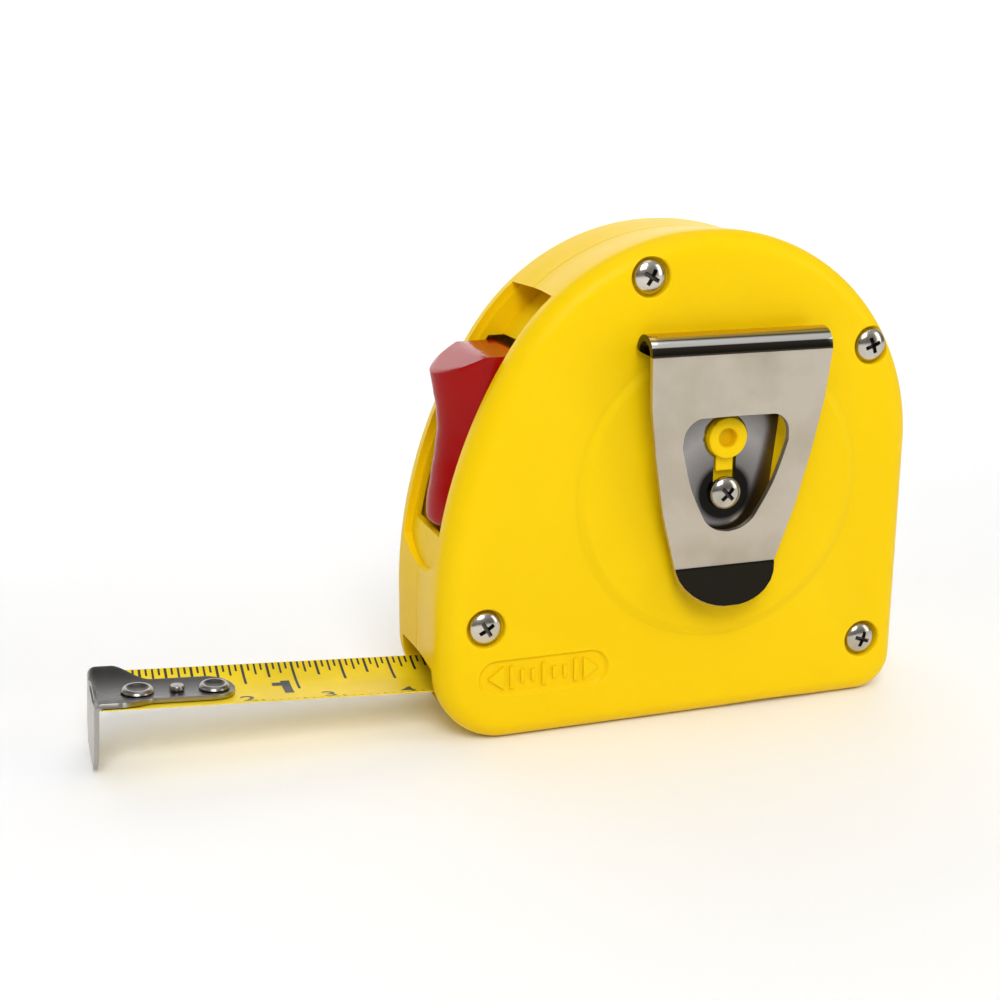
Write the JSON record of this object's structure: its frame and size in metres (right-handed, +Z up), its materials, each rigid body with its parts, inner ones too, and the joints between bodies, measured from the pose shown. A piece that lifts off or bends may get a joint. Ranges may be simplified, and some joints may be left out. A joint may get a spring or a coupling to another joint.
{
  "type": "pocket tape measure",
  "caption": "Pocket steel tape measure in a D-shaped yellow case with a red rocker lock, a folded belt clip and its half-inch blade drawn partly out.",
  "frame": {"origin": "middle of the case length on its flat base, on the centre line of the blade", "axes": "+Z up, -X the way the blade is drawn out, -Y the belt clip side"},
  "size_m": [0.1044, 0.0271, 0.062],
  "materials": {
    "case_plastic": "satin moulded ABS, yellow",
    "lock_plastic": "glossy moulded ABS, red",
    "drum_plastic": "moulded nylon, black",
    "disc_plastic": "natural nylon sheet",
    "clip_steel": "satin plated spring steel",
    "screw_nickel": "bright nickel plate",
    "hook_steel": "worn plated steel",
    "inner_steel": "plain spring steel",
    "blade_paint": "yellow enamel on steel with black scale",
    "rubber": "matt",
    "label_film": "printed film"
  },
  "bodies": {
    "case": {"clip_side_shell": "case_plastic", "plain_side_shell": "case_plastic", "case_screw_1": "screw_nickel", "case_screw_2": "screw_nickel", "case_screw_3": "screw_nickel", "case_screw_4": "screw_nickel", "belt_clip": "clip_steel", "clip_screw": "screw_nickel", "spring_arbor": "inner_steel", "power_spring": "inner_steel", "blade_feed": "blade_paint", "lock_pivot_pin": "inner_steel", "detent_spring": "inner_steel", "mouth_pad": "rubber", "side_label": "label_film"},
    "reel": {"reel_drum": "drum_plastic", "drum_cover": "drum_plastic", "winding_disc_clip_side": "disc_plastic", "winding_disc_plain_side": "disc_plastic", "blade_coil": "blade_paint"},
    "blade_out": {"blade": "blade_paint", "hook_rivet_front": "hook_steel", "hook_rivet_middle": "hook_steel", "hook_rivet_rear": "hook_steel"},
    "hook": {"tape_hook": "hook_steel"},
    "lock": {"lock_button": "lock_plastic", "brake_pad": "rubber"}
  },
  "joints": [
    {"name": "reel_spin", "type": "hinge", "parent": "case", "child": "reel", "pos_m": [0.00455, 0, 0.0301], "axis": [0, 1, 0], "range_deg": [-103, 31.5], "deforming": ["power_spring", "blade_feed"]},
    {"name": "blade_pull", "type": "slide", "parent": "case", "child": "blade_out", "axis": [-1, 0, 0], "range_m": [-0.0352, 0.0112], "deforming": ["blade_feed"]},
    {"name": "hook_float", "type": "slide", "parent": "blade_out", "child": "hook", "axis": [-0.9978, 0, 0.067], "range_m": [0, 0.0008]},
    {"name": "lock_rock", "type": "hinge", "parent": "case", "child": "lock", "pos_m": [-0.02025, 0, 0.0367], "axis": [0, 1, 0], "range_deg": [0, 9], "deforming": ["detent_spring"]}
  ],
  "couplings": [
    {"joint": "blade_pull", "follows": "reel_spin", "m_per_rad": 0.0195}
  ]
}
